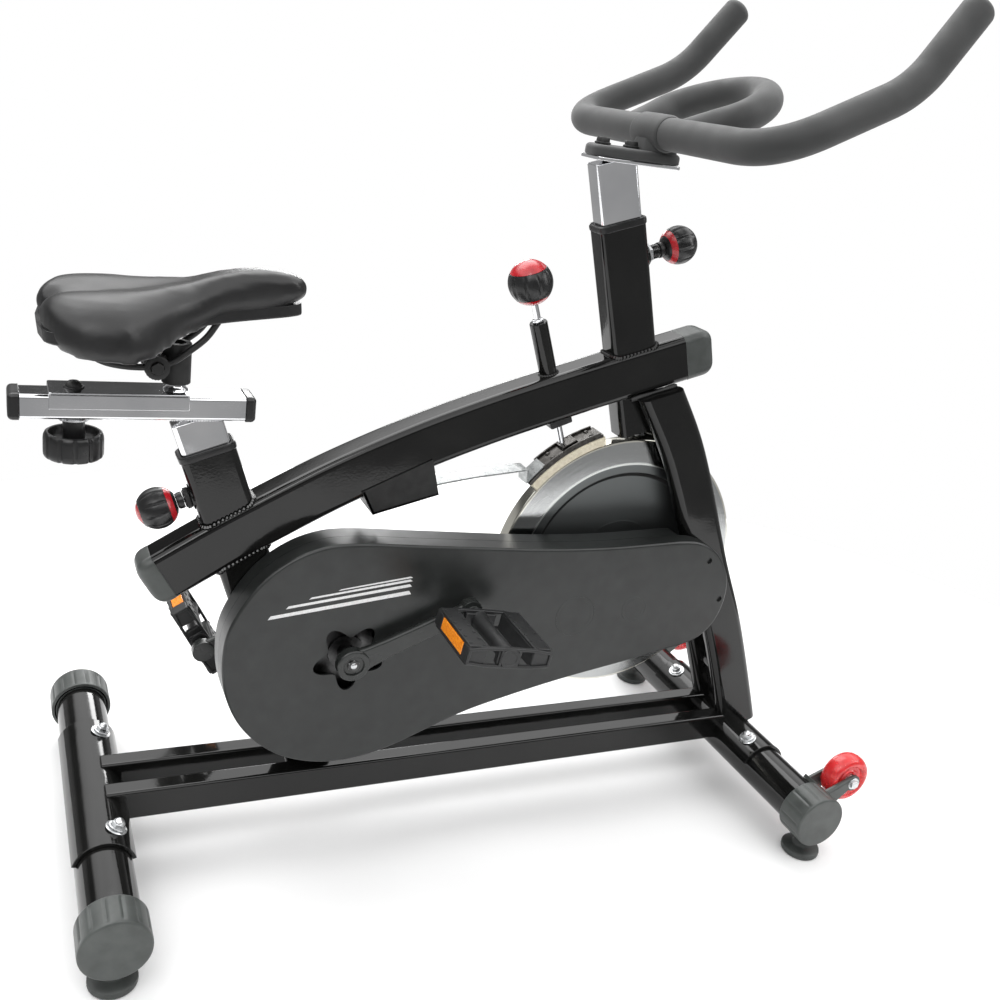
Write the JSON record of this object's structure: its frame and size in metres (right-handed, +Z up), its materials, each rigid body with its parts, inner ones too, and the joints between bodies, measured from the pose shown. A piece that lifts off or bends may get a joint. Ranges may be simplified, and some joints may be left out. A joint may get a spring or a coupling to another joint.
{
  "type": "indoor spin bike",
  "caption": "Indoor cycling trainer with an exposed flywheel, felt brake, covered chain drive, sliding saddle and a horned handlebar on pin-locked posts.",
  "frame": {"origin": "middle of the bounding box, on the floor under the bike", "axes": "+X to the front of the bike, +Y to its left, +Z up"},
  "size_m": [1.0974, 0.52, 1.0875],
  "materials": {
    "gloss_paint": "gloss black powder coat",
    "cap_plastic": "ribbed dark grey, satin",
    "foot_plastic": "moulded black",
    "cover_plastic": "satin charcoal moulding",
    "drive_steel": "oiled",
    "zinc": "zinc plated",
    "chrome": "polished",
    "flywheel_steel": "polished rim, satin web",
    "black_plastic": "satin black",
    "black_steel": "satin black",
    "amber_lens": "prismatic lens",
    "felt": "pressed wool felt",
    "saddle_vinyl": "smooth vinyl",
    "grip_rubber": "matte dipped foam",
    "wheel_urethane": "translucent red"
  },
  "bodies": {
    "frame": {"main_beam": "gloss_paint", "beam_cap_rear": "cap_plastic", "beam_cap_front": "cap_plastic", "seat_tube": "gloss_paint", "head_tube": "gloss_paint", "front_leg_right": "gloss_paint", "front_leg_left": "gloss_paint", "leg_brace": "gloss_paint", "rail_right": "gloss_paint", "rail_left": "gloss_paint", "stabilizer_rear": "gloss_paint", "stabilizer_front": "gloss_paint", "saddle_plate_rear": "gloss_paint", "saddle_plate_front": "gloss_paint", "stabilizer_cap_rear_right": "cap_plastic", "stabilizer_cap_rear_left": "cap_plastic", "stabilizer_cap_front_right": "cap_plastic", "stabilizer_cap_front_left": "cap_plastic", "chain_cover_outer": "cover_plastic", "chain_cover_inner": "cover_plastic", "bottom_bracket": "gloss_paint", "flywheel_axle": "zinc", "drive_chain": "drive_steel", "brake_bracket": "black_steel"},
    "flywheel": {"flywheel": "flywheel_steel", "flywheel_sprocket": "drive_steel"},
    "crank": {"crank_axle": "drive_steel", "chainring": "drive_steel", "crank_right": "black_steel", "crank_left": "black_steel"},
    "pedal_right": {"pedal_right": "black_plastic", "reflector_right_rear": "amber_lens", "reflector_right_front": "amber_lens"},
    "pedal_left": {"pedal_left": "black_plastic", "reflector_left_rear": "amber_lens", "reflector_left_front": "amber_lens"},
    "seat_post": {"seat_post": "chrome", "slide_cap_rear": "black_plastic", "slide_cap_front": "black_plastic"},
    "carriage": {"slide_carriage": "chrome", "saddle_clamp": "black_steel"},
    "slide_knob": {"slide_knob": "black_plastic"},
    "saddle": {"saddle_rails": "black_steel", "saddle_base": "black_plastic", "saddle_pad": "saddle_vinyl"},
    "bar": {"bar_post": "chrome", "handlebar": "grip_rubber"},
    "seat_pin": {"seat_pin": "black_plastic"},
    "bar_pin": {"bar_pin": "black_plastic"},
    "brake_rod": {"brake_rod": "chrome"},
    "brake_knob": {"brake_knob": "black_plastic"},
    "brake_arm": {"brake_leaf": "zinc", "pad_holder": "zinc", "brake_pad": "felt"},
    "wheel_right": {"transport_wheel_right": "wheel_urethane"},
    "wheel_left": {"transport_wheel_left": "wheel_urethane"},
    "foot_rear_right": {"foot_rear_right": "foot_plastic"},
    "foot_rear_left": {"foot_rear_left": "foot_plastic"},
    "foot_front_right": {"foot_front_right": "foot_plastic"},
    "foot_front_left": {"foot_front_left": "foot_plastic"}
  },
  "joints": [
    {"name": "flywheel_spin", "type": "hinge", "parent": "frame", "child": "flywheel", "pos_m": [0.20427, 0, 0.347], "axis": [0, 1, 0], "continuous": true},
    {"name": "crank_spin", "type": "hinge", "parent": "frame", "child": "crank", "pos_m": [-0.18374, 0, 0.272], "axis": [0, 1, 0], "continuous": true},
    {"name": "pedal_right_spin", "type": "hinge", "parent": "crank", "child": "pedal_right", "pos_m": [-0.04159, -0.105, 0.33381], "axis": [0, 1, 0], "continuous": true},
    {"name": "pedal_left_spin", "type": "hinge", "parent": "crank", "child": "pedal_left", "pos_m": [-0.32588, 0.105, 0.21019], "axis": [0, 1, 0], "continuous": true},
    {"name": "seat_post_slide", "type": "slide", "parent": "frame", "child": "seat_post", "axis": [-0.3355, 0, 0.9421], "range_m": [-0.018, 0.17]},
    {"name": "saddle_slide", "type": "slide", "parent": "seat_post", "child": "carriage", "axis": [1, 0, 0], "range_m": [-0.026, 0.03]},
    {"name": "saddle_tilt", "type": "hinge", "parent": "carriage", "child": "saddle", "pos_m": [-0.40774, 0, 0.609], "axis": [0, 1, 0], "range_deg": [-12, 12]},
    {"name": "slide_knob_turn", "type": "hinge", "parent": "carriage", "child": "slide_knob", "pos_m": [-0.48573, 0, 0.515], "axis": [0, 0, 1], "range_deg": [0, 720]},
    {"name": "bar_post_slide", "type": "slide", "parent": "frame", "child": "bar", "axis": [-0.3057, 0, 0.9521], "range_m": [-0.05, 0.12]},
    {"name": "seat_pin_pull", "type": "slide", "parent": "frame", "child": "seat_pin", "axis": [-0.9421, 0, -0.3355], "range_m": [0, 0.012], "stiffness_N_per_m": 1500, "springref_m": -0.004},
    {"name": "bar_pin_pull", "type": "slide", "parent": "frame", "child": "bar_pin", "axis": [0.9521, 0, 0.3057], "range_m": [0, 0.012], "stiffness_N_per_m": 1500, "springref_m": -0.004},
    {"name": "brake_press", "type": "slide", "parent": "frame", "child": "brake_rod", "axis": [0.3665, 0, -0.9304], "range_m": [0, 0.0014], "stiffness_N_per_m": 4000, "springref_m": -0.003},
    {"name": "brake_knob_turn", "type": "hinge", "parent": "brake_rod", "child": "brake_knob", "pos_m": [0.05627, 0, 0.613], "axis": [-0.3665, 0, 0.9304], "range_deg": [0, 720]},
    {"name": "brake_arm_flex", "type": "hinge", "parent": "frame", "child": "brake_arm", "pos_m": [-0.07673, 0, 0.469], "axis": [0, 1, 0], "range_deg": [0, 0.46]},
    {"name": "wheel_right_spin", "type": "hinge", "parent": "frame", "child": "wheel_right", "pos_m": [0.51426, -0.213, 0.098], "axis": [0, 1, 0], "continuous": true},
    {"name": "wheel_left_spin", "type": "hinge", "parent": "frame", "child": "wheel_left", "pos_m": [0.51426, 0.213, 0.098], "axis": [0, 1, 0], "continuous": true},
    {"name": "foot_rear_right_turn", "type": "hinge", "parent": "frame", "child": "foot_rear_right", "pos_m": [-0.46074, -0.226, 0], "axis": [0, 0, 1], "continuous": true},
    {"name": "foot_rear_left_turn", "type": "hinge", "parent": "frame", "child": "foot_rear_left", "pos_m": [-0.46074, 0.226, 0], "axis": [0, 0, 1], "continuous": true},
    {"name": "foot_front_right_turn", "type": "hinge", "parent": "frame", "child": "foot_front_right", "pos_m": [0.44627, -0.234, 0], "axis": [0, 0, 1], "continuous": true},
    {"name": "foot_front_left_turn", "type": "hinge", "parent": "frame", "child": "foot_front_left", "pos_m": [0.44627, 0.234, 0], "axis": [0, 0, 1], "continuous": true}
  ],
  "couplings": [
    {"joint": "crank_spin", "follows": "flywheel_spin", "ratio": 0.28846},
    {"joint": "brake_arm_flex", "follows": "brake_press", "rad_per_m": 5.4}
  ]
}
